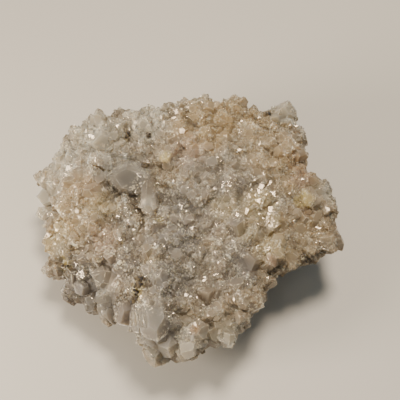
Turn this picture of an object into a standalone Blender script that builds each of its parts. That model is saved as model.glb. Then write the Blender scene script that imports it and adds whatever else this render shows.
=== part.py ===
"""Clear quartz cluster: a hand-sized plate of quartz crystals grown together, as one solid.

The plate is a rough body with a flat broken base, a thick rim that overhangs it all round, and a lower ledge
at its front left. Crystals stand on its top and its sides: six-sided prisms with sloping end faces.
Sizes are in millimetres up to the last step, which turns the solid into metres and centres it on its base.
"""

import math
import random

import bmesh
import bpy
from mathutils import Matrix, Vector, noise
from mathutils.bvhtree import BVHTree
from mathutils.geometry import area_tri

NAME = "quartz_cluster"
MM = 0.001
SEED = 41

# The widest line of the plate, anticlockwise from its right end: x, y and height.
RIM = (
    (46, 4, 22), (44, 10, 23), (39, 14, 25), (38, 21, 27), (37, 30, 28), (34, 36, 30),
    (28, 36, 31), (24, 35, 32), (18, 36, 34), (10, 36, 35), (2, 36, 34), (-5, 36, 32),
    (-10, 35, 30), (-16, 36, 29), (-22, 36, 28), (-28, 33, 26), (-34, 31, 25), (-40, 28, 23),
    (-42, 22, 21), (-46, 17, 18), (-46, 10, 16), (-45, 5, 15), (-43, 0, 14), (-43, -6, 13),
    (-41, -12, 11), (-38, -17, 10), (-36, -23, 9), (-31, -27, 9), (-26, -30, 9), (-19, -31, 12),
    (-15, -35, 13), (-12, -41, 13), (-8, -45, 13), (-3, -46, 14), (3, -45, 15), (10, -41, 17),
    (15, -38, 19), (20, -34, 20), (24, -29, 21), (25, -23, 20), (29, -20, 20), (36, -18, 20),
    (43, -13, 20), (47, -8, 20), (48, -2, 21),
)
MIDDLE = (0, -1)

# Rings of the plate from its base out to the rim and in over the top: the share of the way from the middle
# out to the rim, the share of the rim's height, and the share of the rise from there to the top surface.
RINGS = (
    (0.57, 0.0, 0.0), (0.70, 0.20, 0.0), (0.86, 0.60, 0.0), (1.0, 1.0, 0.0),
    (0.98, 1.0, 0.45), (0.86, 1.0, 0.85), (0.66, 1.0, 1.0), (0.40, 1.0, 1.0),
)

# The top surface: its height over the middle, its slope to the back, and the lumps and hollows on it,
# each an x, a y, a reach and a rise.
TOP_HEIGHT = 31
BACKWARD_SLOPE = 0.10
RELIEF = (
    (-32, -27, 9, -17),
    (-24, 14, 8, 3.5),
    (-13, 7, 7, -5),
    (-2, -4, 6, -2.5),
    (20, 6, 15, 2.5),
    (8, 30, 12, 2),
    (-18, -12, 8, -1.5),
    (-10, -26, 7, 3),
    (10, -28, 14, -4),
    (38, -4, 12, -5),
    (-42, 12, 10, -6),
)
# Points of the inner rings this close together are merged, so that no long thin faces meet in the middle.
CROWDED = 3.4
CROWDED_WITHIN = 30
ROUGHNESS = 2.6
ROUGHNESS_SPAN = 9

# The crystals that cover the plate: how many, the widest and the narrowest, how many places each is offered,
# how far their tips stand out and their roots go down as a share of the width, and how far they lean.
CRYSTALS = 205
WIDEST = 11.0
NARROWEST = 5.0
CHOICES = 16
STANDS_OUT = (0.12, 0.50)
ROOT = 0.60
LEAN = 0.76
LOWEST_FOOT = 6
STEEPEST_OVERHANG = -0.4
# A crystal's half widths at its root and its tip, and how flattened it may be, as shares of its width.
ROOT_RADIUS = 0.56
TIP_RADIUS = 0.50
FLATTENED = (0.7, 1.0)
# End faces of quartz slope so that their normals lie 52 degrees off the long axis. The three large ones are
# always there, and this share of the three small ones between them. Each meets the axis this far past the tip.
END_FACE_TILT = math.radians(52)
SMALL_END_FACES = 0.4
LARGE_FACE_OFFSET = (0, 0.15)
SMALL_FACE_OFFSET = (0.1, 0.35)
# Crystals joined to the plate in one go stand at least this far apart.
CLEAR_OF_EACH_OTHER = 0.2
# A large single crystal keeps others off its foot and off the point this share of the way to its tip.
KEEPS_CLEAR = 0.6

# The large single crystals: where they stand, the way they point, their width, how far they stand out,
# and the turn about their axis in degrees, which at 30 lays a side up.
LANDMARKS = (
    # The broad one that lies across the top, and the small one that hangs over the hollow in front of it.
    ((-20, 9, 29), (-1.0, 0.1, 0.35), 12, 6, 5),
    ((-11, 3, 30), (0.0, -0.85, 0.55), 5.5, 8, 30),
    # The long one that slopes down the front, and its neighbours on both sides.
    ((-9, -35, 24), (0.15, -0.8, 0.0), 9, 9, 30),
    ((-13, -34, 23), (0.0, -0.8, 0.05), 6, 7, 30),
    ((-17, -32, 19), (-0.4, -0.75, 0.25), 9, 5, 30),
    ((2, -39, 18), (0.1, -0.8, 0.35), 9, 5, 30),
    ((12, -37, 19), (0.3, -0.8, 0.3), 8, 5, 30),
    ((-8, -44, 14), (-0.1, -0.8, 0.1), 8, 3, 30),
    ((-1, -45, 14), (0.2, -0.8, 0.2), 8, 2, 0),
    # The blocks over the step down to the ledge, and those of the ledge itself.
    ((-24, -18, 18), (-0.45, -0.5, 0.75), 11, 4, 0),
    ((-27, -12, 21), (-0.1, -0.5, 0.85), 9, 3, 0),
    ((-35, -21, 11), (-0.8, -0.3, 0.4), 8, 3, 30),
    ((-30, -24, 10), (-0.3, -0.8, 0.4), 8, 3, 30),
    ((-26, -25, 11), (-0.2, -0.5, 0.6), 9, 3, 0),
    # The left tip.
    ((-45, 16, 18), (-1.0, 0.15, 0.35), 7, 5.5, 30),
    ((-46, 10, 17), (-1.0, -0.05, 0.25), 7, 3.5, 10),
    ((-45, 5, 15), (-0.9, -0.25, 0.2), 7, 4.5, 30),
    # The back right corner and the right end.
    ((33, 35, 31), (0.25, 0.6, 0.5), 9, 3.5, 30),
    ((45, 8, 23), (0.9, 0.2, 0.3), 5, 3, 30),
    ((46, -3, 19), (0.8, -0.2, 0.5), 9, 3, 0),
    # Smooth blocks on the right half of the top.
    ((7, -29, 25), (0.2, -0.3, 1.0), 9, 2.5, 0),
    ((21, -19, 27), (0.1, -0.4, 0.9), 9, 3, 0),
    ((16, -9, 31), (-0.2, -0.5, 0.9), 7, 3, 0),
    # The back rim.
    ((-22, 35, 29), (-0.2, 0.7, 0.7), 8, 2.5, 30),
    ((-12, 34, 31), (0.0, 0.6, 0.8), 8, 2.5, 30),
    ((-39, 26, 24), (-0.6, 0.4, 0.7), 8, 3, 30),
    ((6, 36, 35), (0.0, 0.7, 0.6), 9, 3, 0),
    ((16, 37, 35), (0.1, 0.8, 0.5), 9, 3, 0),
)

QUARTZ_COLOUR = (0.32, 0.26, 0.195, 1)
QUARTZ_ROUGHNESS = 0.35


def clear_scene():
    for thing in list(bpy.data.objects):
        bpy.data.objects.remove(thing, do_unlink=True)


def top_height(x, y):
    """Height of the plate's top surface, away from the rim."""
    height = TOP_HEIGHT + BACKWARD_SLOPE * y
    for lump_x, lump_y, reach, rise in RELIEF:
        distance = math.hypot(x - lump_x, y - lump_y)
        height += rise * math.exp(-((distance / reach) ** 2))
    return height


def plate_point(rim_point, ring):
    """The point of one ring of the plate that belongs to a point of the rim."""
    spread, level, share = ring
    x = MIDDLE[0] + (rim_point[0] - MIDDLE[0]) * spread
    y = MIDDLE[1] + (rim_point[1] - MIDDLE[1]) * spread
    side = rim_point[2] * level
    return Vector((x, y, side + (top_height(x, y) - side) * share))


def roughen(bm):
    """Break up the body with smooth noise, and leave its base flat."""
    bm.normal_update()
    for vert in bm.verts:
        if vert.co.z > 0:
            push = noise.noise(vert.co / ROUGHNESS_SPAN + Vector((SEED, 0, 0)))
            vert.co += vert.normal * push * ROUGHNESS


def plate():
    """The body that the crystals grow from: a base, rings extruded from it one after another, and a cap."""
    bm = bmesh.new()
    column = bm.verts.layers.int.new("column")
    bmesh.ops.create_circle(bm, cap_ends=True, radius=1, segments=len(RIM))
    for number, vert in enumerate(bm.verts):
        vert[column] = number
        vert.co = plate_point(RIM[number], RINGS[0])
    edges = bm.edges[:]
    for ring in RINGS[1:]:
        grown = bmesh.ops.extrude_edge_only(bm, edges=edges)["geom"]
        for item in grown:
            if isinstance(item, bmesh.types.BMVert):
                item.co = plate_point(RIM[item[column]], ring)
        edges = [item for item in grown if isinstance(item, bmesh.types.BMEdge) and item.is_boundary]
    cap = bmesh.ops.edgeloop_fill(bm, edges=edges)["faces"]
    bmesh.ops.poke(bm, faces=cap)
    inner = [vert for vert in bm.verts if vert.co.z > 0 and vert.co.xy.length < CROWDED_WITHIN]
    bmesh.ops.triangulate(bm, faces=bm.faces)
    bmesh.ops.remove_doubles(bm, verts=inner, dist=CROWDED)
    bmesh.ops.recalc_face_normals(bm, faces=bm.faces)
    roughen(bm)
    return bm


def cut_end_face(bm, around, height):
    """Cut one sloping end face, which would meet the crystal's axis at the given height."""
    slant = math.sin(END_FACE_TILT)
    normal = Vector((math.cos(around) * slant, math.sin(around) * slant, math.cos(END_FACE_TILT)))
    geometry = bm.verts[:] + bm.edges[:] + bm.faces[:]
    cut = bmesh.ops.bisect_plane(
        bm, geom=geometry, dist=0.001, plane_co=(0, 0, height), plane_no=normal, clear_outer=True
    )
    outline = [item for item in cut["geom_cut"] if isinstance(item, bmesh.types.BMEdge)]
    if outline:
        bmesh.ops.edgeloop_fill(bm, edges=outline)


def crystal(width, stands_out, rng):
    """One crystal along +Z, its foot at the origin: an uneven six-sided prism cut by three to six end faces."""
    bm = bmesh.new()
    length = stands_out + width * (1 + ROOT)
    bmesh.ops.create_cone(
        bm, cap_ends=True, segments=6, radius1=width * ROOT_RADIUS, radius2=width * TIP_RADIUS, depth=length,
        matrix=Matrix.Translation((0, 0, length / 2 - width * ROOT)),
    )
    bmesh.ops.scale(bm, vec=(1, rng.uniform(*FLATTENED), 1), verts=bm.verts)
    large = rng.choice((0, 1))
    for side in range(6):
        if side % 2 == large:
            cut_end_face(bm, math.radians(60 * side), stands_out + rng.uniform(*LARGE_FACE_OFFSET) * width)
        elif rng.random() < SMALL_END_FACES:
            cut_end_face(bm, math.radians(60 * side), stands_out + rng.uniform(*SMALL_FACE_OFFSET) * width)
    bmesh.ops.recalc_face_normals(bm, faces=bm.faces)
    return bm


def planted(bm, foot, direction, spin):
    """Spin a crystal about its axis, turn it to its direction and put its foot in place."""
    turn = direction.to_track_quat("Z", "Y").to_matrix().to_4x4()
    bm.transform(Matrix.Translation(foot) @ turn @ Matrix.Rotation(spin, 4, "Z"))
    return bm


def open_triangles(bm):
    """The faces of the plate that crystals grow on, as corners, and their areas."""
    faces = [face for face in bm.faces if face.normal.z > STEEPEST_OVERHANG]
    # Sorted, because Blender may list the faces and their corners in another order each run.
    triangles = sorted(sorted(vert.co[:] for vert in face.verts) for face in faces)
    return triangles, [area_tri(*map(Vector, corners)) for corners in triangles]


def random_spot(triangles, areas, rng):
    """A random point of the plate, with the same chance everywhere."""
    while True:
        first, second, third = map(Vector, rng.choices(triangles, weights=areas)[0])
        low, high = sorted((rng.random(), rng.random()))
        spot = first * low + second * (high - low) + third * (1 - high)
        if spot.z > LOWEST_FOOT:
            return spot


def spots(bm, rng, taken):
    """Places for the crystals, widest first: each the roomiest of a handful of random points."""
    triangles, areas = open_triangles(bm)
    for number in range(CRYSTALS):
        width = WIDEST + (NARROWEST - WIDEST) * (number / CRYSTALS) ** 0.5
        choices = [random_spot(triangles, areas, rng) for _ in range(CHOICES)]
        spot = max(choices, key=lambda point: min((point - other).length - wide / 2 for other, wide in taken))
        taken.append((spot, width))
        yield spot, width


def all_crystals(body):
    """Every crystal in its place: the large single ones, then those that cover the rest of the plate."""
    rng = random.Random(SEED)
    tree = BVHTree.FromBMesh(body)
    crystals = []
    taken = []
    for place, direction, width, stands_out, turn in LANDMARKS:
        foot = tree.find_nearest(Vector(place))[0]
        along = Vector(direction).normalized()
        taken += [(foot, width), (foot + along * stands_out * KEEPS_CLEAR, width)]
        crystals.append(planted(crystal(width, stands_out, rng), foot, along, math.radians(turn)))
    for foot, width in spots(body, rng, taken):
        normal = tree.find_nearest(foot)[1]
        lean = Vector((rng.gauss(0, 1), rng.gauss(0, 1), rng.gauss(0, 1))).normalized() * LEAN * rng.random()
        stands_out = width * rng.uniform(*STANDS_OUT)
        grown = crystal(width, stands_out, rng)
        crystals.append(planted(grown, foot, normal + lean, rng.uniform(0, math.tau)))
    return crystals


def ball_around(bm):
    """Centre and radius of a ball that holds the crystal."""
    centre = sum((vert.co for vert in bm.verts), Vector()) / len(bm.verts)
    return centre, max((vert.co - centre).length for vert in bm.verts)


def in_rounds(crystals):
    """Share the crystals out to rounds in which none comes near another, so a round is free of overlaps."""
    rounds = []
    for bm in crystals:
        centre, radius = ball_around(bm)
        for members in rounds:
            gaps = ((centre - other).length - radius - reach for _, other, reach in members)
            if min(gaps) > CLEAR_OF_EACH_OTHER:
                members.append((bm, centre, radius))
                break
        else:
            rounds.append([(bm, centre, radius)])
    return [[bm for bm, _, _ in members] for members in rounds]


def mesh_object(bm, name):
    mesh = bpy.data.meshes.new(name)
    bm.to_mesh(mesh)
    bm.free()
    return bpy.data.objects.new(name, mesh)


def joined(crystals, name):
    """One object that holds all the crystals of a round."""
    both = bmesh.new()
    for bm in crystals:
        mesh = bpy.data.meshes.new(name)
        bm.to_mesh(mesh)
        bm.free()
        both.from_mesh(mesh)
        bpy.data.meshes.remove(mesh)
    return mesh_object(both, name)


def grown_together(body, rounds):
    """The plate with every round of crystals joined to it, as one mesh."""
    helpers = bpy.data.collections.new("helpers")
    bpy.context.scene.collection.children.link(helpers)
    whole = mesh_object(body, "body")
    pieces = [whole] + [joined(crystals, f"round_{number}") for number, crystals in enumerate(rounds)]
    for piece in pieces:
        helpers.objects.link(piece)
        piece.hide_render = True
        piece.display_type = "WIRE"
    for piece in pieces[1:]:
        union = whole.modifiers.new(piece.name, "BOOLEAN")
        union.operation = "UNION"
        union.solver = "EXACT"
        union.object = piece
    depsgraph = bpy.context.evaluated_depsgraph_get()
    mesh = bpy.data.meshes.new_from_object(whole.evaluated_get(depsgraph))
    for piece in pieces:
        bpy.data.objects.remove(piece)
    bpy.data.collections.remove(helpers)
    return mesh


def skin_of(vert):
    """All the vertices that edges join to this one."""
    skin = {vert}
    ends = [vert]
    while ends:
        reached = ends.pop()
        for edge in reached.link_edges:
            other = edge.other_vert(reached)
            if other not in skin:
                skin.add(other)
                ends.append(other)
    return skin


def close_pockets(mesh):
    """Keep the outer skin alone, so that no pocket shut in between crystals is left inside."""
    bm = bmesh.new()
    bm.from_mesh(mesh)
    outer = skin_of(max(bm.verts, key=lambda vert: vert.co.z))
    pockets = [vert for vert in bm.verts if vert not in outer]
    bmesh.ops.delete(bm, geom=pockets, context="VERTS")
    bm.to_mesh(mesh)
    bm.free()


def centred_in_metres(mesh):
    """Bring the mesh to metres, with the middle of its outline over the origin and its base on z = 0."""
    xs = [vert.co.x for vert in mesh.vertices]
    ys = [vert.co.y for vert in mesh.vertices]
    middle = Vector(((min(xs) + max(xs)) / 2, (min(ys) + max(ys)) / 2, 0))
    mesh.transform(Matrix.Scale(MM, 4) @ Matrix.Translation(-middle))


def quartz():
    material = bpy.data.materials.new("quartz")
    material.use_nodes = True
    shader = material.node_tree.nodes["Principled BSDF"]
    shader.inputs["Base Color"].default_value = QUARTZ_COLOUR
    shader.inputs["Roughness"].default_value = QUARTZ_ROUGHNESS
    shader.inputs["Metallic"].default_value = 0
    return material


def main():
    clear_scene()
    body = plate()
    mesh = grown_together(body, in_rounds(all_crystals(body)))
    close_pockets(mesh)
    centred_in_metres(mesh)
    mesh.name = NAME
    mesh.materials.clear()
    mesh.materials.append(quartz())
    collection = bpy.data.collections.new("clear_quartz_cluster")
    bpy.context.scene.collection.children.link(collection)
    collection.objects.link(bpy.data.objects.new(NAME, mesh))


main()
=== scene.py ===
"""The looks of the quartz cluster: clear points and sugary grains grown over its solid, and the studio.

Places on the cluster are written in millimetres from the middle of its base, and at() turns them into metres,
in which everything is made. A crystal is made one unit wide along +Z with its tip at about the origin, and is
then scaled, turned and set in its place.
"""

import math
import random

import bmesh
import bpy
from mathutils import Matrix, Vector, noise
from mathutils.bvhtree import BVHTree


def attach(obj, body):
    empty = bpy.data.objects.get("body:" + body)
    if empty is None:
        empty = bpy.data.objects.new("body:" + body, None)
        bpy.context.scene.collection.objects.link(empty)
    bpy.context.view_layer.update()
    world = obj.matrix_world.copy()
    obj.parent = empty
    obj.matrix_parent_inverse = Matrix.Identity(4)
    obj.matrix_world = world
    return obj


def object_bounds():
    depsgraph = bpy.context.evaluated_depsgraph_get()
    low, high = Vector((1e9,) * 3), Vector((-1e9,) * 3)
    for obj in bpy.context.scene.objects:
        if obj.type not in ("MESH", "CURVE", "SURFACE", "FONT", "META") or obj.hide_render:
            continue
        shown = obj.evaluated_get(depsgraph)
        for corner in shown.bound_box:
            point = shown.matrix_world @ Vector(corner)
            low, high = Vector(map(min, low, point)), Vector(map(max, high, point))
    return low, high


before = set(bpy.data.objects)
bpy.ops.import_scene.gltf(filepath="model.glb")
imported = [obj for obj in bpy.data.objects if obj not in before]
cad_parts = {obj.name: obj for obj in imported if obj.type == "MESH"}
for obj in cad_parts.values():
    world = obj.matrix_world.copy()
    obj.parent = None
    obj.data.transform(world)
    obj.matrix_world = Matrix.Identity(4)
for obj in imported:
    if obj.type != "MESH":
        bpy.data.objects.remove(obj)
CAD_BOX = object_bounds()

MM = 0.001
SEED = 7
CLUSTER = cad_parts["quartz_cluster"]
LOW, HIGH = Vector(CAD_BOX[0]), Vector(CAD_BOX[1])
MIDDLE = (LOW + HIGH) / 2
REACH = (HIGH - LOW).length / 2


def at(place):
    return Vector(place) * MM


# ---------------------------------------------------------------- the studio's measures

# The camera looks down at the cluster from the front: where it aims, how steeply, and from how far.
AIM = (5.5, 10.6, 22.0)
ELEVATION = math.radians(58)
DISTANCE = 254
BACK = Vector((0, -math.cos(ELEVATION), math.sin(ELEVATION)))
EYE = at(AIM) + BACK * DISTANCE * MM
# Its focal length and the width of its sensor.
LENS = 70
SENSOR = 36

# Each lamp's place, how wide it is, its power in watts and its colour.
KEY = ((96, 240, 800), 240, 10.5, (1.0, 0.93, 0.84))
WINDOW = ((-260, -110, 140), 120, 1.7, (1.0, 0.94, 0.86))
# The sky's colour and strength.
SKY = ((0.70, 0.86, 1.0), 0.36)
# The floor's colour and roughness, and how many metres it reaches each way.
FLOOR = (0.455, 0.392, 0.307)
FLOOR_ROUGHNESS = 0.6
FLOOR_REACH = 1.5

# ---------------------------------------------------------------- places on the cluster

# Broad clean faces that no small crystal covers: the middle of each and its reach.
CLEAN_FACES = (
    ((-18, 12.5, 33.5), 5.2), ((-9, -36, 28.5), 5.5), ((-7, -39, 21), 5), ((-17, -29.5, 23), 4),
    ((-22, -17, 23.5), 5.5), ((-29, -22, 15), 5), ((-23, -27, 17), 3.5), ((21.5, -16, 28.5), 4),
    ((17, -6, 33), 3), ((7.5, -25.5, 26.5), 3.5), ((32.5, 37.5, 34), 5), ((-46, 14, 19.5), 5),
    ((-27, 24, 38), 4), ((-9.5, 1, 33.5), 3.5),
)

# Hollows between the crystals, in which nothing small grows: the middle of each and its reach.
HOLLOWS = (
    ((-7, -2.5, 31), 2.2), ((-14, 3, 29), 1.2), ((19, 3, 31), 1.2), ((33, -8, 28), 1.0),
)

# Where large blunt crystals fill the clefts of the front: the middle of each and its reach.
BLOCKY_PLACES = (
    ((-30, -20, 16), 14), ((-18, -29, 19), 9), ((-4, -40, 18), 8), ((6, -36, 22), 10), ((18, -29, 22), 10),
)

# Where the quartz is clearest: the tips and blocks of the rim, and the long crystal in front.
CLEAR_PLACES = (
    ((-46, 14, 19), 10), ((-40, 23, 27), 10), ((-27, 28, 35), 14), ((-12, 34, 34), 11), ((33, 38, 33), 8),
    ((45, 11, 26), 6), ((-9, -36, 27), 9), ((-7, -39, 20), 9), ((-26, -22, 18), 10), ((3, -40, 22), 10),
    ((14, -38, 21), 8), ((-18, 14, 33), 10), ((-9, 1, 33), 5),
)

# Faces that catch the lamp: how far right and back each stands, its width and its length.
SPARKLES = (
    (24.8, 8.6, 1.3, 2.1), (23.7, 6.2, 0.6, 1.8), (27.4, 9.8, 0.7, 2.0), (28.3, 6.3, 1.4, 1.6),
    (23.5, 2.8, 1.6, 1.4), (20.0, 0.2, 0.9, 2.0), (16.8, -1.4, 1.1, 1.1), (27.4, 1.6, 1.3, 1.8),
    (25.8, 4.3, 0.5, 0.6), (29.6, 3.8, 0.4, 0.9), (25.2, 11.6, 0.4, 0.9), (21.6, 7.4, 0.5, 0.4),
    (23.9, -0.3, 0.6, 0.5), (25.0, -2.0, 0.6, 0.7), (26.6, -1.2, 0.4, 1.1), (26.5, -3.7, 0.4, 0.5),
    (28.0, -3.3, 0.5, 0.4), (22.6, 4.8, 0.4, 0.5), (34.5, -1.6, 0.4, 0.5), (38.0, 12.6, 0.9, 0.7),
    (33.6, 6.9, 0.6, 0.5), (42.7, -2.0, 1.7, 0.5), (23.5, 16.8, 0.5, 0.5), (18.0, 20.7, 1.1, 0.7),
    (42.9, -6.2, 0.6, 0.4), (-21.5, 30.3, 1.1, 0.8), (-39.9, -2.3, 0.7, 1.0), (-19.9, -0.9, 0.6, 1.0),
    (3.0, -4.9, 1.2, 0.9), (9.9, 8.0, 0.7, 1.0), (6.1, 31.8, 0.6, 0.5), (19.0, 33.2, 0.8, 0.6),
    (24.7, 35.0, 0.9, 0.6), (1.3, -25.4, 0.8, 1.0), (-30.1, 26.5, 1.5, 1.0), (-28.8, 24.6, 1.0, 1.1),
    (-3.0, 32.5, 1.4, 0.6), (37.3, 32.9, 1.5, 0.7), (-38.9, 13.6, 1.0, 0.6), (14.0, -25.0, 0.5, 1.8),
    (15.5, -26.2, 0.5, 2.0), (6.7, -20.2, 1.3, 0.6), (1.1, -39.4, 0.6, 0.9), (-3, 12, 0.6, 0.5),
    (10, -12, 0.5, 0.5), (-8, -12, 0.7, 0.5), (-15, -8, 0.5, 0.4), (12, 14, 0.4, 0.5),
)

# Rows of slender crystals: the root of the middle one, their direction, width, length, number and step.
RIBS = (
    ((-11.5, -30.5, 28.0), (0.12, -1.0, -0.12), 1.1, 6.0, 8, (1.05, -0.1, 0.1)),
    ((14.3, -24.5, 24.6), (0.10, -0.8, 0.35), 0.9, 3.4, 5, (1.0, -0.4, -0.15)),
    ((-10, 4.5, 32.8), (0.05, -1.0, 0.30), 3.6, 6.5, 2, (1.6, 0.8, -0.6)),
)
# Stout crystals set in rows, given the same way.
STOUT = (
    ((29.5, 37.5, 31.0), (-0.1, 0.25, 1.0), 4.2, 3.6, 3, (3.0, 0.3, 0)),
    ((-25.5, -23.0, 14.5), (-0.5, -0.9, 0.5), 7.0, 4.5, 2, (4.5, -2.5, 1.0)),
    ((-33.0, -17.0, 13.0), (-0.7, -0.7, 0.6), 7.0, 4.5, 2, (3.5, -3.0, 0.5)),
    ((-15.5, -28.0, 20.0), (-0.3, -1.0, 0.5), 6.0, 4.0, 1, (0, 0, 0)),
)

# Black and brown crumbs of another mineral: how far right and back, how wide they lie, and how many.
CRUMBS = (
    (-12.2, 18.0, 1.0, 8), (-17.7, 29.5, 0.6, 4), (-18.0, 27.8, 0.5, 3), (-11.2, 28.4, 0.5, 3),
    (-34.0, -10.2, 0.8, 4), (-35.5, -12.0, 0.6, 2), (-37.5, -11.5, 0.8, 4), (-12.4, -21.8, 0.9, 16),
    (-12.9, -24.2, 1.0, 22), (-14.2, -26.4, 0.9, 16), (28.4, 37.0, 0.8, 6), (39.5, -12.0, 1.2, 12),
)

# ---------------------------------------------------------------- the shapes of the crystals

# All are for a crystal one unit wide. The normals of quartz's end faces lie 52 degrees off the long axis.
END_FACE_TILT = math.radians(52)
# A crystal's half width at the root and at the tip, and how far past the tip it is made before it is cut.
ROOT_RADIUS = 0.56
TIP_RADIUS = 0.5
SPARE_TIP = 0.7
# How thick crystals and grains are for their width.
POINT_THICKNESS = (0.65, 1.0)
GRAIN_THICKNESS = (0.6, 1.0)
# Three of the end faces are large, and each of the others is there on a share of the crystals. How far above
# the origin they meet the axis.
LARGE_FACES_AT = (0, 0.2)
SMALL_FACES_AT = (0.1, 0.35)
SMALL_FACE_SHARE = 0.4
# A blunt crystal ends in one more face: how far it tilts and how deep it cuts.
POINT_BLUNT = ((0.1, 0.6), (0.25, 0.5))
GRAIN_BLUNT = ((0.1, 0.5), (0.1, 0.35))
BLUNT_GRAIN_SHARE = 0.5
# How deep one end face of each grain cuts, which makes the grain uneven.
UNEVEN_CUT = (0.1, 0.3)
# The edges of the larger crystals are worn to narrow sugary faces this wide.
WORN_EDGE = 0.022
# The kinds of points: how many shapes there are of each, their length and the share of blunt ones.
SHORT_POINTS = (20, 1.2, 0.8)
LONG_POINTS = (6, 4.0, 0.2)
TINY_POINTS = (3, 0.6, 0.0)
GRAIN_SHAPES = 10
CRUMB_SHAPES = 6
MIRROR_SHAPES = 8
# A block with a bright top: its half width at the root and at the top, its height, the numbers of sides that
# it may have, how it may be turned, the rake of its cut side and how near to the axis that is cut.
MIRROR_ROOT = 1.1
MIRROR_TOP = 0.75
MIRROR_HEIGHT = 1.6
MIRROR_SIDES = (3, 4, 4)
MIRROR_TURNS = (0.6, 0.785, 1.0)
MIRROR_RAKE = math.radians(75)
MIRROR_CUT = (0.25, 0.5)
# How far in or out the corners of a crumb lie, as a share of its half width.
CRUMB_CORNERS = (0.6, 1.15)

# ---------------------------------------------------------------- how they are strewn

# How many crystals, their least and greatest width, how near two may grow for their width, how far their tips
# stand out for their width, and how far they lean anyhow.
POINTS = (1850, (1.8 * MM, 5.5 * MM), 0.5, (0.45, 0.75), 0.8)
BLOCKS = (90, (4.5 * MM, 7.5 * MM), 0.45, (0.0, 0.3), 0.6)
GRAINS = (8000, (0.6 * MM, 1.7 * MM), 0.5, (0.25, 0.6), 0.9)
GRAIN_PIECES = 3
# How many places are tried for each crystal.
TRIES = 40
# A crystal looks part the way of the face that it grows on, and part the way of the cluster as a whole, which
# is felt out at so many places this many millimetres round it.
FACE_PULL = 0.4
WHOLE_PULL = 0.6
FEELERS = 6
FEELER_REACH = 7
# The less a crystal looks up, the less it stands out.
LEAST_OUT = 0.3
OUT_FOR_UP = 1.5
# A place is in a valley where a ball of this radius doesn't fit, because the cluster is nearer to its middle
# than this share of the radius.
POINT_VALLEY = 3 * MM
BLOCK_VALLEY = 5 * MM
GRAIN_VALLEY = 2 * MM
BALL_FIT = 0.9
# None grow lower than this, or on faces that look down by more than this.
POINTS_FROM = 4 * MM
BLOCKS_FROM = 6 * MM
GRAINS_FROM = 3 * MM
POINTS_LOOK_UP = -0.6
GRAINS_LOOK_UP = -0.8
# The size of the patches in which points and grains grow thick or thin, and how far the grains' patches are
# shifted from those of the points.
POINT_PATCH = 9 * MM
GRAIN_PATCH = 6 * MM
GRAIN_SHIFT = Vector((5, 0, 0))
# The chance that a point grows in a valley and in the open, and how much more or less it is in a patch.
POINT_CHANCES = (0.5, 0.2)
POINT_PATCH_CHANCE = 0.5
# The chance that a block grows in the open, for it always does in a valley.
BLOCK_IN_OPEN = 0.1
# The chance that a grain grows on faces steeper than this, and in the open in a patch and between patches.
STEEP = 0.3
GRAIN_ON_STEEP = 0.1
GRAIN_IN_PATCH = 0.9
GRAIN_BETWEEN = 0.05
PATCH_EDGE = 0.05

# How far round a sparkling face, for its size, other crystals keep away, how many millimetres it stands out,
# and how far such faces are turned about.
SPARKLE_ROOM = 0.7
SPARKLE_HEIGHT = 0.9
SPARKLE_TURN = 0.6
# A face this broad gleams where it looks within this angle of throwing the key lamp's light at the camera.
# Its crystal is then turned round its axis and a little aside, at most so often, until none gleams.
BROAD_FACE = 0.03
GLEAM_ANGLE = math.radians(10)
DULLING_TURNS = 9
DULLING_TURN = Matrix.Rotation(0.7, 4, "Z") @ Matrix.Rotation(0.12, 4, "X")
# How unlike each other the crystals of a row are: in direction, width and length.
ROW_LEAN = 0.06
ROW_WIDTHS = (0.8, 1.15)
ROW_LENGTHS = (0.8, 1.1)
# How far round a group of crumbs, for its width, other crystals keep away, how loosely the crumbs lie, their
# width, and how high they stand for their width.
CRUMB_ROOM = 2.0
CRUMB_SCATTER = 0.6
CRUMB_WIDTHS = (0.8, 1.7)
CRUMB_LIFT = (0.3, 0.65)

# ---------------------------------------------------------------- colours and finish

# Grey, beige and pale quartz, in the cloudy and the clear share of the body, of points and of grains. Cloudy
# points have the colours of the body.
CLOUDY_BODY = ((0.178, 0.145, 0.108), (0.198, 0.150, 0.098), (0.285, 0.245, 0.178))
CLEAR_BODY = ((0.85, 0.83, 0.79), (0.85, 0.80, 0.70), (0.95, 0.94, 0.90))
CLEAR_POINT = ((0.93, 0.92, 0.89), (0.92, 0.88, 0.80), (1, 1, 1))
CLOUDY_GRAIN = ((0.240, 0.207, 0.158), (0.262, 0.210, 0.140), (0.34, 0.305, 0.238))
CLEAR_GRAIN = ((0.95, 0.95, 0.94), (0.93, 0.88, 0.80), (1, 1, 1))
# The white of some of the tiny faces: sugary white quartz, and in part painted glints of the lamp.
SUGAR_WHITE_AND_GLINTS = (0.68, 0.585, 0.41)
# How strongly the stains and the painted shade colour the cloudy body, its clear share and cloudy crystals,
# and clear crystals.
BODY_STAIN_AND_SHADE = 1.0
CRYSTAL_STAIN_AND_SHADE = 0.8
CLEAR_STAIN_AND_SHADE = 0.7

# Quartz bends light by this much.
QUARTZ_IOR = 1.544
# How strongly faces throw light back: a little dulled, and more so where they mirror the lamp. That light
# takes a little of the iron's colour.
DULLED = 0.36
SPARKLE_SHINE = 0.27
GLEAM = (1.0, 0.80, 0.58)
# How rough the faces of the cloudy and the clear share are, of the body, of points and of grains.
CLOUDY_ROUGHNESS = 0.12
CLEAR_BODY_ROUGHNESS = 0.2
CLEAR_POINT_ROUGHNESS = 0.08
CLOUDY_GRAIN_ROUGHNESS = 0.3
CLEAR_GRAIN_ROUGHNESS = 0.05
CRUMB_ROUGHNESS = 0.6
# How far red, green and blue light soak in, for the depth that is given for each kind.
SOAKING = (1.0, 0.9, 0.75)
BODY_SOAK = 10 * MM
POINT_SOAK = 4 * MM
GRAIN_SOAK = 1.5 * MM
# How cloudy the clearest and the cloudiest points and grains are, and the share of them that are all as clear
# as the clearest.
POINT_CLOUD = (0.35, 0.7, 0.0)
GRAIN_CLOUD = (0.2, 0.55, 0.1)
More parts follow.
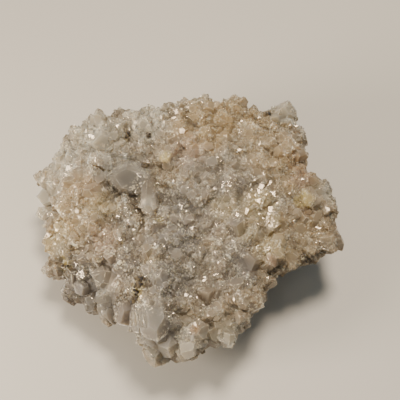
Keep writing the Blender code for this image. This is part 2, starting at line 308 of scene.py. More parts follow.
# The clear share of the body, where it is cloudiest and where it is clearest, and its drifting clouds: the
# fineness and detail of their noise, and from where to where they clear.
LEAST_CLEAR = 0.1
CLEAREST = 0.25
CLOUDS = (110, 3)
CLEARING = (0.45, 0.70)
# How much of the lamps' light shines through the body and through crystals.
BODY_LIGHT = 0.3
CRYSTAL_LIGHT = 0.8

# Where the crust of tiny crystals is thick: the fineness and detail of its noise, from where to where it
# thickens, and how thick it is at either end.
CRUST_NOISE = (150, 3)
CRUST = (0.40, 0.52, 0.2, 1.0)
# Tiny faces: how many there are in a metre, and how far they lean.
COARSE_CRUST = (600, 0.5)
FINE_CRUST = (2000, 0.9)
POINT_FACES = 1500
ROUGH_LEAN = 0.2
SMOOTH_LEAN = 0.03
GRAIN_FACES = (2200, 0.5)
# Tiny faces start to turn white at the first of these shades, and all from the second on are white.
CRUST_FLECKS = (0.72, 0.82)
GRAIN_FLECKS = (0.66, 0.72)
# The body's white faces, in part painted glints, fade low down and on faces that look down: from where to
# where they fade, and how strong they are at either end.
FLECK_HEIGHTS = (16 * MM, 28 * MM, 0.1, 1)
FLECK_NORMALS = (-0.1, 0.4, 0.1, 0.8)

# The colours of the stains and of the painted shade, of which black and brown are those of the crumbs too.
TAN = (0.40, 0.283, 0.138)
RUST = (0.36, 0.21, 0.10)
# Smoke is painted shade on the low ledge and in the clefts in front, and elsewhere a grey that darkens glassy
# facets and patches.
SMOKE_AND_LEDGE_SHADE = (0.118, 0.103, 0.091)
ASH = (0.212, 0.190, 0.164)
SNOW = (0.42, 0.37, 0.29)
MOSS = (0.33, 0.27, 0.145)
ROSE = (0.42, 0.28, 0.20)
# Umber is painted shade in the hollows and under the broad clean face left of the middle, and brown stain
# elsewhere.
UMBER_AND_HOLLOW_SHADE = (0.15, 0.11, 0.068)
YELLOW = (0.55, 0.43, 0.15)
# Olive is painted shadow in the dark hole near the middle, and an olive stain under two groups of crumbs.
OLIVE_AND_HOLLOW_SHADE = (0.20, 0.16, 0.06)
BLACKENED = (0.02, 0.014, 0.01)
BROWN = (0.10, 0.065, 0.025)

# The places of each stain and painted shade, the later ones over the earlier: the middle of each, its reach
# and its strength.
STAINS_AND_SHADE = (
    # Smoke: on the low ledge and in the clefts in front it is painted shade.
    (SMOKE_AND_LEDGE_SHADE, (
        ((-18, 12.5, 33.5), 13, 0.7), ((-32, -20, 17), 16, 0.75), ((-20, -28, 20), 12, 0.65),
        ((-8, -36, 26), 11, 0.5), ((12, -33, 24), 14, 0.15), ((-17, -14, 27), 10, 0.5),
        ((16, -17, 28), 10, 0.5), ((17, -6, 33), 5, 0.6), ((7.5, -25.5, 26.5), 5, 0.5),
        ((22, 6, 33), 9, 0.6), ((10, -22, 27), 8, 0.4), ((-42, 1, 23), 9, 0.5), ((-30, 0, 28), 13, 0.3),
        ((24, 2, 33), 10, 0.4), ((2, -4, 30), 13, 0.2),
    )),
    (SNOW, (
        ((-22, 18, 35), 6, 0.7), ((-14, 17, 34), 5, 0.5), ((-9.5, 1, 33.5), 4, 0.6),
        ((-40, 22, 28), 8, 0.4), ((-27, 27, 36), 8, 0.4), ((-12, 33, 35), 8, 0.4),
    )),
    (ASH, (
        ((-3, -8, 30), 12, 0.8), ((-2, -22, 28), 11, 0.9), ((-3, 4, 31), 10, 0.7), ((10, 3, 30), 12, 0.5),
        ((-8, -37, 24), 12, 0.45), ((8, -36, 24), 12, 0.35), ((8, 15, 33), 10, 0.3),
    )),
    (TAN, (
        ((8, 32, 36), 17, 0.55), ((20, 37, 35), 14, 0.45), ((27, 22, 33), 16, 0.4), ((35, -7, 26), 16, 0.4),
        ((-33, 3, 27), 16, 0.5), ((-43, -2, 22), 9, 0.6), ((24, 2, 33), 9, 0.4), ((36, 15, 30), 13, 0.4),
        ((8, -28, 26), 12, 0.15),
    )),
    (MOSS, (
        ((28, -11, 29), 7, 0.45), ((13, 2, 32), 6, 0.45), ((24, 2, 33), 9, 0.5), ((20, -7, 32), 5, 0.4),
        ((28, -3.5, 32), 4, 0.5), ((12, -36, 24), 6, 0.2), ((-40, -4, 24), 9, 0.4), ((-26, 2, 30), 8, 0.35),
    )),
    (ROSE, (
        ((37, 14, 30), 6, 0.4), ((-24, -6, 27), 8, 0.3), ((-30, 8, 31), 6, 0.3), ((2, 22, 35), 8, 0.3),
        ((28, -15, 27), 3, 0.5),
    )),
    (RUST, (
        ((36, 19, 32), 6, 0.35), ((38, 4, 27), 4.5, 0.4), ((49, 3, 20), 4, 0.5), ((4, -36, 26), 2.4, 0.6),
    )),
    # Umber: painted shade in the hollows and under the broad face left of the middle; brown stain by the
    # crumbs.
    (UMBER_AND_HOLLOW_SHADE, (
        ((-19, 8, 31), 4, 0.4), ((-14, 3, 29), 4, 0.5), ((-13, -24, 29.5), 5, 0.7),
        ((-7, -2.4, 31), 3.5, 0.8), ((33, -8, 28), 4, 0.5), ((13, 17, 34), 3, 0.4),
    )),
    (YELLOW, (
        ((38, 6, 29), 4, 0.6), ((-6, 19.5, 34.5), 3, 0.5), ((-36, -10, 20), 3.5, 0.6),
        ((-13, -26, 28), 2.5, 0.6),
    )),
    # Olive: painted shadow in the hole near the middle; olive stain under the crumbs.
    (OLIVE_AND_HOLLOW_SHADE, (
        ((-37, -11, 16), 2.6, 0.9), ((-13, -24, 29.5), 2.6, 0.9), ((-7, -2.4, 31), 2, 0.9),
    )),
    (BLACKENED, (
        ((-12, 18, 31), 1.5, 1), ((-18, 29, 33), 1.3, 1), ((-11, 28.5, 33), 1.3, 1),
        ((-34, -10.5, 23), 1.4, 1), ((-36, -11, 20), 1.3, 1), ((28.5, 37, 33.5), 1.4, 1),
        ((40, -11.5, 22), 3.4, 1),
    )),
)
# A mask is whole up to this share of its reach, and fades from there.
WHOLE_SHARE = 0.35
# How the edge of a stain or of painted shade wanders: the fineness of the noise, how far it pushes, and its
# detail. Those that reach less far than the last number have the fine edge.
BROAD_WANDER = (260, 5 * MM)
FINE_WANDER = (900, 1.2 * MM)
WANDER_DETAIL = 3
SMALL_SPOT = 3
# The patches of grey and beige, and of black and brown: the fineness and detail of their noise, and from
# where to where the one turns into the other.
PATCHES = (70, 4)
PATCH_EDGES = (0.38, 0.62)
MOTTLE = (900, 2)
MOTTLE_EDGES = (0.40, 0.58)


# ---------------------------------------------------------------- crystals

def as_mesh(bm, name):
    """The mesh made from a bmesh, which is freed."""
    mesh = bpy.data.meshes.new(name)
    bm.to_mesh(mesh)
    bm.free()
    return mesh


def add_object(name, data):
    """A new object in the scene, which holds a mesh, a lens or a light."""
    holder = bpy.data.objects.new(name, data)
    bpy.context.scene.collection.objects.link(holder)
    return holder


def cut_face(bm, normal, point):
    """Cut a crystal off at a plane and close it there."""
    geometry = bm.verts[:] + bm.edges[:] + bm.faces[:]
    cut = bmesh.ops.bisect_plane(
        bm, geom=geometry, dist=1e-5, plane_co=point, plane_no=normal, clear_outer=True,
    )
    outline = [item for item in cut["geom_cut"] if isinstance(item, bmesh.types.BMEdge)]
    if outline:
        bmesh.ops.edgeloop_fill(bm, edges=outline)


def tilted(around, tilt):
    """The direction that lies so far off the axis, on this side of it."""
    return Vector((math.cos(around) * math.sin(tilt), math.sin(around) * math.sin(tilt), math.cos(tilt)))


def make_blunt(bm, rng, tilts, depths):
    """Cut off the tip at one slanting face."""
    normal = tilted(rng.uniform(0, math.tau), rng.uniform(*tilts))
    cut_face(bm, normal, (0, 0, -rng.uniform(*depths)))


def quartz_point(rng, length, blunt, worn):
    """A six-sided crystal, its root so far below its tip."""
    bm = bmesh.new()
    bmesh.ops.create_cone(
        bm, cap_ends=True, segments=6, radius1=ROOT_RADIUS, radius2=TIP_RADIUS, depth=length + SPARE_TIP,
        matrix=Matrix.Translation((0, 0, (SPARE_TIP - length) / 2)),
    )
    bmesh.ops.scale(bm, vec=(1, rng.uniform(*POINT_THICKNESS), 1), verts=bm.verts)
    large = rng.choice((0, 1))
    for side in range(6):
        normal = tilted(math.radians(60 * side), END_FACE_TILT)
        if side % 2 == large:
            cut_face(bm, normal, (0, 0, rng.uniform(*LARGE_FACES_AT)))
        elif rng.random() < SMALL_FACE_SHARE:
            cut_face(bm, normal, (0, 0, rng.uniform(*SMALL_FACES_AT)))
    if blunt:
        make_blunt(bm, rng, *POINT_BLUNT)
    if worn:
        bmesh.ops.bevel(
            bm, geom=bm.edges[:], offset=WORN_EDGE, segments=1, profile=0.5, affect="EDGES", material=1,
        )
    bmesh.ops.recalc_face_normals(bm, faces=bm.faces)
    return as_mesh(bm, "quartz_point")


def quartz_points(count, length, blunt_share, worn=True):
    rng = random.Random(SEED)
    return [quartz_point(rng, length, rng.random() < blunt_share, worn) for _ in range(count)]


def quartz_grain(rng):
    """The tip of a tiny crystal, of which only the end faces show."""
    bm = bmesh.new()
    height = 0.5 * math.tan(END_FACE_TILT)
    bmesh.ops.create_cone(
        bm, cap_ends=True, segments=6, radius1=1.0, radius2=0, depth=2 * height,
        matrix=Matrix.Translation((0, 0, -height)),
    )
    bmesh.ops.scale(bm, vec=(1, rng.uniform(*GRAIN_THICKNESS), 1), verts=bm.verts)
    side = rng.randrange(6)
    cut_face(bm, tilted(math.radians(60 * side), END_FACE_TILT), (0, 0, -rng.uniform(*UNEVEN_CUT)))
    if rng.random() < BLUNT_GRAIN_SHARE:
        make_blunt(bm, rng, *GRAIN_BLUNT)
    bmesh.ops.recalc_face_normals(bm, faces=bm.faces)
    return as_mesh(bm, "quartz_grain")


def quartz_grains(count, seed):
    rng = random.Random(SEED + seed)
    return [quartz_grain(rng) for _ in range(count)]


def mirror_block(rng):
    """A block whose top is one clean face, its sides raked and one of them cut anyhow."""
    bm = bmesh.new()
    sides = rng.choice(MIRROR_SIDES)
    turn = Matrix.Rotation(rng.choice(MIRROR_TURNS), 4, "Z")
    bmesh.ops.create_cone(
        bm, cap_ends=True, segments=sides, radius1=MIRROR_ROOT, radius2=MIRROR_TOP, depth=MIRROR_HEIGHT,
        matrix=Matrix.Translation((0, 0, -MIRROR_HEIGHT / 2)) @ turn,
    )
    around = rng.uniform(0, math.tau)
    cut_face(bm, tilted(around, MIRROR_RAKE), tilted(around, math.pi / 2) * rng.uniform(*MIRROR_CUT))
    bmesh.ops.recalc_face_normals(bm, faces=bm.faces)
    return as_mesh(bm, "mirror_block")


def mirror_blocks(count, seed):
    rng = random.Random(SEED + seed)
    return [mirror_block(rng) for _ in range(count)]


def crumb(rng):
    """A rough lump of dark mineral."""
    bm = bmesh.new()
    bmesh.ops.create_icosphere(bm, subdivisions=1, radius=0.5)
    for vert in bm.verts:
        vert.co *= rng.uniform(*CRUMB_CORNERS)
    return as_mesh(bm, "crumb")


def crumb_lumps(count):
    return [crumb(random.Random(SEED + number)) for number in range(count)]


# ---------------------------------------------------------------- the cluster they grow on

def solid_tree(piece):
    """The faces of a piece, laid out so that the nearest one to a point or on a line is found fast."""
    bm = bmesh.new()
    bm.from_mesh(piece.data)
    tree = BVHTree.FromBMesh(bm)
    bm.free()
    return tree


BODY = solid_tree(CLUSTER)


def ground(x, y):
    """The highest place of the cluster so far right and back, or none past its rim."""
    return BODY.ray_cast(Vector((x * MM, y * MM, 2 * HIGH.z)), Vector((0, 0, -1)))[0]


def any_direction(rng):
    return Vector((rng.gauss(0, 1), rng.gauss(0, 1), rng.gauss(0, 1))).normalized()


def surface_hit(rng):
    """Where a random line first meets the cluster. Such points are spread evenly over what is exposed."""
    while True:
        along = any_direction(rng)
        turn = along.to_track_quat("Z", "Y")
        angle = rng.uniform(0, math.tau)
        out = REACH * math.sqrt(rng.random())
        start = MIDDLE + turn @ Vector((math.cos(angle) * out, math.sin(angle) * out, -2 * REACH))
        point, normal, _, _ = BODY.ray_cast(start, along)
        if point is not None:
            return point, normal


def in_valley(point, normal, radius):
    """Whether a ball of this radius, rolled over the cluster, can't touch it here."""
    return BODY.find_nearest(point + normal * radius)[3] < BALL_FIT * radius


def broad_normal(point, rng):
    """The way the cluster as a whole faces here, without its facets."""
    total = Vector()
    for _ in range(FEELERS):
        total += BODY.find_nearest(point + any_direction(rng) * FEELER_REACH * MM)[1]
    return total.normalized()


def taken():
    """Places of the sparkling faces and the crumbs, which stay free of other crystals."""
    places = [(ground(x, y), SPARKLE_ROOM * max(width, length)) for x, y, width, length in SPARKLES]
    places += [(ground(x, y), CRUMB_ROOM * spread) for x, y, spread, _ in CRUMBS]
    return [(point / MM, room) for point, room in places if point is not None]


FREE_PLACES = (*CLEAN_FACES, *HOLLOWS, *taken())


def within(point, places, room):
    """Whether a point is nearer than room to the reach of any of these places."""
    return any((point - at(place)).length < reach * MM + room for place, reach in places)


def points_wanted(point, normal, width):
    """The chance that a crystal of this width grows here: in patches, and most of all in valleys."""
    if point.z < POINTS_FROM or normal.z < POINTS_LOOK_UP or within(point, FREE_PLACES, 0.5 * width):
        return 0.0
    in_hollow, in_open = POINT_CHANCES
    chance = in_hollow if in_valley(point, normal, POINT_VALLEY) else in_open
    return chance + POINT_PATCH_CHANCE * noise.noise(point / POINT_PATCH)


def blocks_wanted(point, normal, width):
    """The chance of a block here: in the clefts of the front, and seldom out of a valley."""
    if point.z < BLOCKS_FROM or not within(point, BLOCKY_PLACES, 0) or within(point, CLEAN_FACES, 0):
        return 0.0
    return 1.0 if in_valley(point, normal, BLOCK_VALLEY) else BLOCK_IN_OPEN


def grains_wanted(point, normal, width):
    """The chance of a grain here: whole in valleys, in patches on open ground and small on steep faces."""
    if point.z < GRAINS_FROM or normal.z < GRAINS_LOOK_UP or within(point, FREE_PLACES, 0.5 * width):
        return 0.0
    if normal.z < STEEP:
        return GRAIN_ON_STEEP
    if in_valley(point, normal, GRAIN_VALLEY):
        return 1.0
    patch = noise.noise(point / GRAIN_PATCH + GRAIN_SHIFT)
    return GRAIN_IN_PATCH if patch > PATCH_EDGE else GRAIN_BETWEEN


class Spread:
    """Keeps points apart, with a grid of cells to find the near ones."""

    def __init__(self, cell):
        self.cell = cell
        self.cells = {}

    def key(self, point):
        return tuple(math.floor(value / self.cell) for value in point)

    def is_free(self, point, room):
        kx, ky, kz = self.key(point)
        for x in (kx - 1, kx, kx + 1):
            for y in (ky - 1, ky, ky + 1):
                for z in (kz - 1, kz, kz + 1):
                    for other in self.cells.get((x, y, z), ()):
                        if (other - point).length < room:
                            return False
        return True

    def add(self, point):
        self.cells.setdefault(self.key(point), []).append(point)


# ---------------------------------------------------------------- the places of the crystals

def placed(point, direction, width, stands_out, spin):
    """The transform that turns a unit crystal to its direction and lets its tip stand out of the surface."""
    turn = direction.to_track_quat("Z", "Y").to_matrix().to_4x4()
    lift = direction.normalized() * stands_out
    return Matrix.Translation(point + lift) @ turn @ Matrix.Rotation(spin, 4, "Z") @ Matrix.Scale(width, 4)


def scattered(count, widths, room, stands_out, lean, wanted, seed):
    """Transforms for crystals strewn over the cluster where they are wanted, none outside the solid's box."""
    rng = random.Random(SEED + seed)
    spread = Spread(widths[1] * room)
    transforms = []
    for _ in range(count * TRIES):
        if len(transforms) == count:
            break
        point, normal = surface_hit(rng)
        width = widths[0] + (widths[1] - widths[0]) * rng.random() ** 2
        if rng.random() > wanted(point, normal, width) or not spread.is_free(point, width * room):
            continue
        direction = normal * FACE_PULL + broad_normal(point, rng) * WHOLE_PULL
        direction += any_direction(rng) * lean * rng.random()
        looks_up = max(LEAST_OUT, min(1, direction.normalized().z * OUT_FOR_UP))
        out = width * rng.uniform(*stands_out) * looks_up
        tip = point + direction.normalized() * out
        if tip.z < LOW.z + width or not all(LOW[i] <= tip[i] <= HIGH[i] for i in range(3)):
            continue
        spread.add(point)
        transforms.append(placed(point, direction, width, out, rng.uniform(0, math.tau)))
    return transforms


def side_by_side(rows, seed):
    """Transforms for crystals grown in rows."""
    rng = random.Random(SEED + seed)
    transforms = []
    for root, way, width, length, count, step in rows:
        for number in range(count):
            middle = at(root) + at(step) * (number - (count - 1) / 2)
            direction = Vector(way) + any_direction(rng) * ROW_LEAN
            size = width * rng.uniform(*ROW_WIDTHS) * MM
            tip = middle + direction.normalized() * length * rng.uniform(*ROW_LENGTHS) * MM
            transforms.append(placed(tip, direction, size, 0, rng.uniform(0, math.tau)))
    return transforms


def halfway(point):
    """The direction a face at this place must look in to throw the key lamp's light at the camera."""
    return ((at(KEY[0]) - point).normalized() + (EYE - point).normalized()).normalized()


def gleams(shape, transform):
    """Whether a broad face of this crystal would throw the key lamp's light at the camera."""
    way = halfway(transform.translation)
    turn = transform.to_3x3().normalized()
    broad = (face for face in shape.polygons if face.area > BROAD_FACE)
    return any((turn @ face.normal).angle(way) < GLEAM_ANGLE for face in broad)


def sparkling(seed):
    """Transforms for the blocks whose tops throw the key lamp's light at the camera."""
    rng = random.Random(SEED + seed)
    transforms = []
    for x, y, width, length in SPARKLES:
        point = ground(x, y)
        way = halfway(point)
        spin = Matrix.Rotation(rng.uniform(-SPARKLE_TURN, SPARKLE_TURN), 4, "Z")
        turn = way.to_track_quat("Z", "Y").to_matrix().to_4x4() @ spin
        size = Matrix.Diagonal((width * MM, length * MM, min(width, length) * MM, 1))
        transforms.append(Matrix.Translation(point + way * SPARKLE_HEIGHT * MM) @ turn @ size)
    return transforms


def crumbled(seed):
    """Transforms for the crumbs of dark mineral, in their groups."""
    rng = random.Random(SEED + seed)
    transforms = []
    for x, y, spread, count in CRUMBS:
        for _ in range(count):
            point = ground(x + rng.gauss(0, CRUMB_SCATTER) * spread, y + rng.gauss(0, CRUMB_SCATTER) * spread)
            width = rng.uniform(*CRUMB_WIDTHS) * MM
            if point is not None:
                lift = Vector((0, 0, rng.uniform(*CRUMB_LIFT) * width))
                transforms.append(placed(point + lift, any_direction(rng), width, 0, 0))
    return transforms


def grown(name, shapes, transforms, seed, dull=False):
    """One piece made of all the crystals. Each keeps in the attribute milk how cloudy it is.

    Dull ones are turned until no broad face gleams. Crystals are joined in batches, because each one takes
    longer to set in place the more there are in its mesh.
    """
    rng = random.Random(SEED + seed)
    whole = bmesh.new()
    batch = 100
    for first in range(0, len(transforms), batch):
        bm = bmesh.new()
        milk = bm.verts.layers.float.new("milk")
        for transform in transforms[first:first + batch]:
            start = len(bm.verts)
            shape = rng.choice(shapes)
            for _ in range(DULLING_TURNS if dull else 0):
                if not gleams(shape, transform):
                    break
                transform = transform @ DULLING_TURN
            bm.from_mesh(shape)
            bm.verts.ensure_lookup_table()
            new = bm.verts[start:]
            bmesh.ops.transform(bm, matrix=transform, verts=new)
            cloudy = rng.random()
            for vert in new:
                vert[milk] = cloudy
        mesh = as_mesh(bm, name)
        whole.from_mesh(mesh)
        bpy.data.meshes.remove(mesh)
    piece = add_object(name, as_mesh(whole, name))
    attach(piece, "root")
    return piece


# ---------------------------------------------------------------- nodes

def add_node(tree, kind, **settings):
    node = tree.nodes.new(kind)
    for name, value in settings.items():
        setattr(node, name, value)
    return node


def feed(tree, node, values):
    """Link each input, by name or number, to the socket that feeds it, or set it to a plain value."""
    for name, value in values.items():
        socket = node.inputs[name]
        if isinstance(value, bpy.types.NodeSocket):
            tree.links.new(value, socket)
        elif socket.type == "RGBA":
            socket.default_value = (*value, 1)
        else:
            socket.default_value = value


def maths(tree, operation, *operands):
    """A Math node. Each operand is a number or the socket that feeds it."""
    node = add_node(tree, "ShaderNodeMath", operation=operation)
    feed(tree, node, dict(enumerate(operands)))
    return node.outputs[0]


def vector_maths(tree, operation, *operands):
    """A Vector Math node, fed in the same way. A distance is a number, and all else is a vector."""
    node = add_node(tree, "ShaderNodeVectorMath", operation=operation)
    feed(tree, node, dict(enumerate(operands)))
    return node.outputs["Value" if operation == "DISTANCE" else "Vector"]


def strongest(tree, masks):
    """The mask that is, everywhere, as strong as the strongest of these."""
    whole = masks[0]
    for mask in masks[1:]:
        whole = maths(tree, "MAXIMUM", whole, mask)
    return whole


def blend(tree, share, first, second):
    """A mix of two colours, each a socket or a plain colour."""
    node = add_node(tree, "ShaderNodeMix", data_type="RGBA")
    numbers = {socket.identifier: number for number, socket in enumerate(node.inputs)}
    feed(tree, node, {
        numbers["Factor_Float"]: share, numbers["A_Color"]: first, numbers["B_Color"]: second,
    })
    return next(item for item in node.outputs if item.identifier == "Result_Color")


def noise_of(tree, vector, scale, detail):
    node = add_node(tree, "ShaderNodeTexNoise")
    feed(tree, node, {"Vector": vector, "Scale": scale, "Detail": detail})
    return node


def ramp(tree, value, low, high, to_low=0.0, to_high=1.0):
    """Stretch values between low and high to the two given ends, smoothly."""
    node = add_node(tree, "ShaderNodeMapRange", interpolation_type="SMOOTHSTEP")
    feed(tree, node, {"Value": value, "From Min": low, "From Max": high, "To Min": to_low, "To Max": to_high})
    return node.outputs["Result"]


def near(tree, where, place, reach):
    """A mask that is 1 at a place and fades to 0 at its reach."""
    away = vector_maths(tree, "DISTANCE", where, at(place))
    return ramp(tree, away, WHOLE_SHARE * reach * MM, reach * MM, 1, 0)


def wandering(tree, place, scale, size):
    """Places pushed about by a noise, which gives a stain its ragged edge."""
    colour = noise_of(tree, place, scale, WANDER_DETAIL).outputs["Color"]
    pushed = vector_maths(tree, "MULTIPLY_ADD", colour, (size, size, size), place)
    return vector_maths(tree, "SUBTRACT", pushed, (size / 2, size / 2, size / 2))


def upright(tree, vector):
    """How high a place lies, or how far up a normal looks."""
    parts = add_node(tree, "ShaderNodeSeparateXYZ")
    feed(tree, parts, {"Vector": vector})
    return parts.outputs["Z"]


def new_group(name, inputs, outputs):
    group = bpy.data.node_groups.new(name, "ShaderNodeTree")
    for label, kind in inputs.items():
        group.interface.new_socket(label, in_out="INPUT", socket_type=f"NodeSocket{kind}")
    for label, kind in outputs.items():
        group.interface.new_socket(label, in_out="OUTPUT", socket_type=f"NodeSocket{kind}")
    return group, group.nodes.new("NodeGroupInput").outputs, group.nodes.new("NodeGroupOutput")


def stains_and_shade_group():
    """Quartz from grey to beige, pale where it is clearest, with iron stains and painted shade at their
    places.
    """
    group, given, result = new_group(
        "iron stains and painted shade",
        {"Place": "Vector", "Grey": "Color", "Beige": "Color", "Pale": "Color", "Strength": "Float"},
        {"Colour": "Color"},
    )
    broad = wandering(group, given["Place"], *BROAD_WANDER)
    fine = wandering(group, given["Place"], *FINE_WANDER)
    patches = noise_of(group, given["Place"], *PATCHES).outputs["Fac"]
    colour = blend(group, ramp(group, patches, *PATCH_EDGES), given["Grey"], given["Beige"])
    pale = strongest(group, [near(group, broad, middle, reach) for middle, reach in CLEAR_PLACES])
    colour = blend(group, pale, colour, given["Pale"])
    for tint, places in STAINS_AND_SHADE:
        spots = []
        for middle, reach, strength in places:
            edge = fine if reach < SMALL_SPOT else broad
            spots.append(maths(group, "MULTIPLY", near(group, edge, middle, reach), strength))
        mask = maths(group, "MULTIPLY", strongest(group, spots), given["Strength"])
        colour = blend(group, mask, colour, tint)
    feed(group, result, {"Colour": colour})
    return group


def tiny_faces_group():
    """Tiny crystal faces: cells that each lean their own way and have a shade of their own, from 0 to 1."""
    group, given, result = new_group(
        "tiny faces",
        {"Place": "Vector", "Normal": "Vector", "Cells": "Float", "Lean": "Float"},
        {"Normal": "Vector", "Shade": "Float"},
    )
    cells = add_node(group, "ShaderNodeTexVoronoi")
    feed(group, cells, {"Vector": given["Place"], "Scale": given["Cells"]})
    way = vector_maths(group, "SUBTRACT", cells.outputs["Color"], (0.5, 0.5, 0.5))
    way = vector_maths(group, "MULTIPLY", way, given["Lean"])
    way = vector_maths(group, "ADD", given["Normal"], way)
    shade = add_node(group, "ShaderNodeSeparateColor")
    feed(group, shade, {"Color": cells.outputs["Color"]})
    feed(group, result, {"Normal": vector_maths(group, "NORMALIZE", way), "Shade": shade.outputs["Red"]})
    return group


# ---------------------------------------------------------------- materials

def new_material(name):
    """A new material, its tree of nodes and its Principled shader."""
    material = bpy.data.materials.new(name)
    material.use_nodes = True
    tree = material.node_tree
    return material, tree, tree.nodes["Principled BSDF"]


def place_on(tree):
    return add_node(tree, "ShaderNodeTexCoord").outputs["Object"]


def normal_on(tree):
    return add_node(tree, "ShaderNodeNewGeometry").outputs["Normal"]


def stained_and_shaded(tree, stains_and_shade, place, colours, strength):
    """The colour of quartz here, from its grey, beige and pale, and from how strongly the stains and painted
    shade colour it.
    """
    grey, beige, pale = colours
    node = add_node(tree, "ShaderNodeGroup", node_tree=stains_and_shade)
    feed(tree, node, {"Place": place, "Grey": grey, "Beige": beige, "Pale": pale, "Strength": strength})
    return node.outputs["Colour"]


def tiny_faces(tree, faces, place, normal, cells, lean):
    """The normals of tiny faces, so many to a metre, and the shade of each."""
    node = add_node(tree, "ShaderNodeGroup", node_tree=faces)
    feed(tree, node, {"Place": place, "Normal": normal, "Cells": cells, "Lean": lean})
    return node.outputs["Normal"], node.outputs["Shade"]


def finish_quartz(tree, shader, colour, roughness, shine):
    """What clear and cloudy quartz have in common."""
    feed(tree, shader, {
        "Base Color": colour, "Roughness": roughness, "IOR": QUARTZ_IOR,
        "Specular IOR Level": shine, "Specular Tint": GLEAM,
    })


def make_clear(tree, shader, colour, roughness, shine):
    """Quartz that one sees through."""
    finish_quartz(tree, shader, colour, roughness, shine)
    feed(tree, shader, {"Transmission Weight": 1.0})


def make_cloudy(tree, shader, colour, roughness, shine, soak):
    """Quartz that light soaks into, so deep."""
    finish_quartz(tree, shader, colour, roughness, shine)
    feed(tree, shader, {"Subsurface Weight": 1.0, "Subsurface Radius": SOAKING, "Subsurface Scale": soak})


def mix_shaders(tree, share, first, second):
    """The first shader, with a share of the second."""
    mix = add_node(tree, "ShaderNodeMixShader")
    feed(tree, mix, {"Fac": share, 1: first, 2: second})
    return mix.outputs["Shader"]


def join_quartz(tree, first, second, share, normal, light):
    """Both kinds of quartz with the same normals and a share of the second. The lamps shine through them."""
    for shader in (first, second):
        feed(tree, shader, {"Normal": normal})
    surface = mix_shaders(tree, share, first.outputs["BSDF"], second.outputs["BSDF"])
    through = add_node(tree, "ShaderNodeBsdfTransparent")
    feed(tree, through, {"Color": (light, light, light)})
    shadow = add_node(tree, "ShaderNodeLightPath").outputs["Is Shadow Ray"]
    surface = mix_shaders(tree, shadow, surface, through.outputs["BSDF"])
    feed(tree, tree.nodes["Material Output"], {"Surface": surface})


def crust_on(tree, place):
    """Where a crust of tiny crystals covers the body. It leaves the clean faces smooth."""
    crust = ramp(tree, noise_of(tree, place, *CRUST_NOISE).outputs["Fac"], *CRUST)
    clean = strongest(tree, [near(tree, place, middle, reach) for middle, reach in CLEAN_FACES])
    return maths(tree, "MULTIPLY", crust, maths(tree, "SUBTRACT", 1.0, clean))


def clearness_of(tree, place):
    """How far the body lets one see into it."""
    clouds = noise_of(tree, place, *CLOUDS).outputs["Fac"]
    spots = [ramp(tree, clouds, *CLEARING, LEAST_CLEAR, CLEAREST)]
    for middle, reach in CLEAR_PLACES:
        spots.append(maths(tree, "MULTIPLY", near(tree, place, middle, reach), CLEAREST))
    return strongest(tree, spots)


def milky_quartz(stains_and_shade, faces):
    """The fused body of the cluster: cloudy quartz that light soaks into, crusted with tiny crystals."""
    material, tree, milky = new_material("milky quartz")
    place = place_on(tree)
    normal = bare_normal = normal_on(tree)
    crust = crust_on(tree, place)
    for cells, lean in (COARSE_CRUST, FINE_CRUST):
        normal, shade = tiny_faces(tree, faces, place, normal, cells, maths(tree, "MULTIPLY", crust, lean))
    # Pale flecks of sugary white, in part painted glints of the lamp, strongest on faces that look up.
    white_flecks_and_glints = maths(tree, "MULTIPLY", ramp(tree, shade, *CRUST_FLECKS), crust)
    for vector, limits in ((place, FLECK_HEIGHTS), (bare_normal, FLECK_NORMALS)):
        white_flecks_and_glints = maths(tree, "MULTIPLY", white_flecks_and_glints, ramp(tree, upright(tree, vector), *limits))
    colour = stained_and_shaded(tree, stains_and_shade, place, CLOUDY_BODY, BODY_STAIN_AND_SHADE)
    colour = blend(tree, white_flecks_and_glints, colour, SUGAR_WHITE_AND_GLINTS)
    make_cloudy(tree, milky, colour, CLOUDY_ROUGHNESS, DULLED, BODY_SOAK)
    clear = add_node(tree, "ShaderNodeBsdfPrincipled")
    colour = stained_and_shaded(tree, stains_and_shade, place, CLEAR_BODY, CRYSTAL_STAIN_AND_SHADE)
    make_clear(tree, clear, colour, CLEAR_BODY_ROUGHNESS, DULLED)
    join_quartz(tree, milky, clear, clearness_of(tree, place), normal, BODY_LIGHT)
    return material


def cloudiness(tree, least, most, clearest):
    """The cloudy share of each crystal, from its own attribute. Those up to the clearest have the least."""
    milk = add_node(tree, "ShaderNodeAttribute", attribute_name="milk").outputs["Fac"]
    return ramp(tree, milk, clearest, 1.0, least, most)


def clear_quartz(name, stains_and_shade, faces, lean, shine):
    """The crystals that stand free of the body, from clear to cloudy."""
    material, tree, clear = new_material(name)
    place = place_on(tree)
    colour = stained_and_shaded(tree, stains_and_shade, place, CLEAR_POINT, CLEAR_STAIN_AND_SHADE)
    make_clear(tree, clear, colour, CLEAR_POINT_ROUGHNESS, shine)
    milky = add_node(tree, "ShaderNodeBsdfPrincipled")
    colour = stained_and_shaded(tree, stains_and_shade, place, CLOUDY_BODY, CRYSTAL_STAIN_AND_SHADE)
    make_cloudy(tree, milky, colour, CLOUDY_ROUGHNESS, shine, POINT_SOAK)
    normal, _ = tiny_faces(tree, faces, place, normal_on(tree), POINT_FACES, lean)
    join_quartz(tree, clear, milky, cloudiness(tree, *POINT_CLOUD), normal, CRYSTAL_LIGHT)
    return material


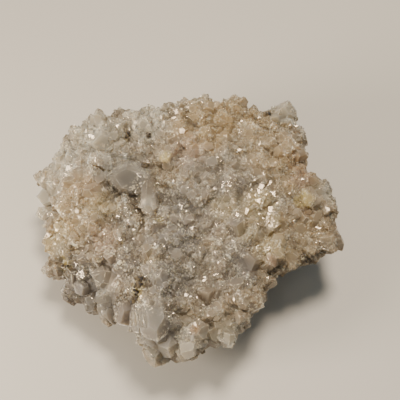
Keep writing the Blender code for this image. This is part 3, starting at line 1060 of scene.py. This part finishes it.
def sugar_quartz(stains_and_shade, faces):
    """The grains and the worn edges: some clear, some milky, with tiny white faces, in part painted glints.
    """
    material, tree, clear = new_material("sugar quartz")
    place = place_on(tree)
    colour = stained_and_shaded(tree, stains_and_shade, place, CLEAR_GRAIN, CLEAR_STAIN_AND_SHADE)
    make_clear(tree, clear, colour, CLEAR_GRAIN_ROUGHNESS, DULLED)
    milky = add_node(tree, "ShaderNodeBsdfPrincipled")
    normal, shade = tiny_faces(tree, faces, place, normal_on(tree), *GRAIN_FACES)
    colour = stained_and_shaded(tree, stains_and_shade, place, CLOUDY_GRAIN, CRYSTAL_STAIN_AND_SHADE)
    # White tiny faces on the grains, in part painted glints.
    colour = blend(tree, ramp(tree, shade, *GRAIN_FLECKS), colour, SUGAR_WHITE_AND_GLINTS)
    make_cloudy(tree, milky, colour, CLOUDY_GRAIN_ROUGHNESS, DULLED, GRAIN_SOAK)
    join_quartz(tree, clear, milky, cloudiness(tree, *GRAIN_CLOUD), normal, CRYSTAL_LIGHT)
    return material


def dark_mineral():
    """Black to brown crumbs, dull and mottled."""
    material, tree, shader = new_material("dark mineral")
    mottle = ramp(tree, noise_of(tree, place_on(tree), *MOTTLE).outputs["Fac"], *MOTTLE_EDGES)
    feed(tree, shader, {"Base Color": blend(tree, mottle, BLACKENED, BROWN), "Roughness": CRUMB_ROUGHNESS})
    return material


def plain(name, colour, roughness):
    material, tree, shader = new_material(name)
    feed(tree, shader, {"Base Color": colour, "Roughness": roughness})
    return material


def coat(piece, *materials):
    for material in materials:
        piece.data.materials.append(material)


# ---------------------------------------------------------------- studio

def camera():
    lens = bpy.data.cameras.new("camera")
    lens.lens = LENS
    lens.sensor_width = SENSOR
    holder = add_object("camera", lens)
    holder.location = EYE
    holder.rotation_euler = BACK.to_track_quat("Z", "Y").to_euler()
    bpy.context.scene.camera = holder


def lamp(name, place, size, power, colour):
    """A round lamp that looks at the middle of the base."""
    light = bpy.data.lights.new(name, "AREA")
    light.shape = "DISK"
    light.size = size * MM
    light.energy = power
    light.color = colour
    holder = add_object(name, light)
    holder.location = at(place)
    holder.rotation_euler = at(place).to_track_quat("Z", "Y").to_euler()


def floor():
    bm = bmesh.new()
    bmesh.ops.create_grid(bm, x_segments=1, y_segments=1, size=FLOOR_REACH)
    piece = add_object("floor", as_mesh(bm, "floor"))
    coat(piece, plain("floor", FLOOR, FLOOR_ROUGHNESS))


def sky(colour, strength):
    world = bpy.data.worlds.new("sky")
    bpy.context.scene.world = world
    world.use_nodes = True
    tree = world.node_tree
    feed(tree, tree.nodes["Background"], {"Color": colour, "Strength": strength})


# ---------------------------------------------------------------- the making

def main():
    stains_and_shade = stains_and_shade_group()
    faces = tiny_faces_group()
    clear = clear_quartz("clear quartz", stains_and_shade, faces, ROUGH_LEAN, DULLED)
    bright = clear_quartz("bright quartz", stains_and_shade, faces, SMOOTH_LEAN, SPARKLE_SHINE)
    sugar = sugar_quartz(stains_and_shade, faces)
    CLUSTER.data.materials.clear()
    coat(CLUSTER, milky_quartz(stains_and_shade, faces))

    points = scattered(*POINTS, wanted=points_wanted, seed=1)
    coat(grown("points", quartz_points(*SHORT_POINTS), points, seed=2, dull=True), clear, sugar)
    blocks = scattered(*BLOCKS, wanted=blocks_wanted, seed=9) + side_by_side(STOUT, seed=71)
    coat(grown("blocks", quartz_points(*SHORT_POINTS), blocks, seed=6, dull=True), clear, sugar)
    coat(grown("sparkles", mirror_blocks(MIRROR_SHAPES, seed=51), sparkling(seed=50), seed=3), bright)
    ribs = side_by_side(RIBS, seed=70)
    coat(grown("ribs", quartz_points(*LONG_POINTS), ribs, seed=5, dull=True), clear, sugar)
    coat(grown("crumbs", crumb_lumps(CRUMB_SHAPES), crumbled(seed=60), seed=4), dark_mineral())
    shapes = quartz_grains(GRAIN_SHAPES, seed=1) + quartz_points(*TINY_POINTS, worn=False)
    for number in range(GRAIN_PIECES):
        grains = scattered(*GRAINS, wanted=grains_wanted, seed=30 + number)
        coat(grown(f"grains_{number + 1}", shapes, grains, seed=40 + number), sugar)

    camera()
    lamp("key", *KEY)
    lamp("window", *WINDOW)
    floor()
    sky(*SKY)


main()
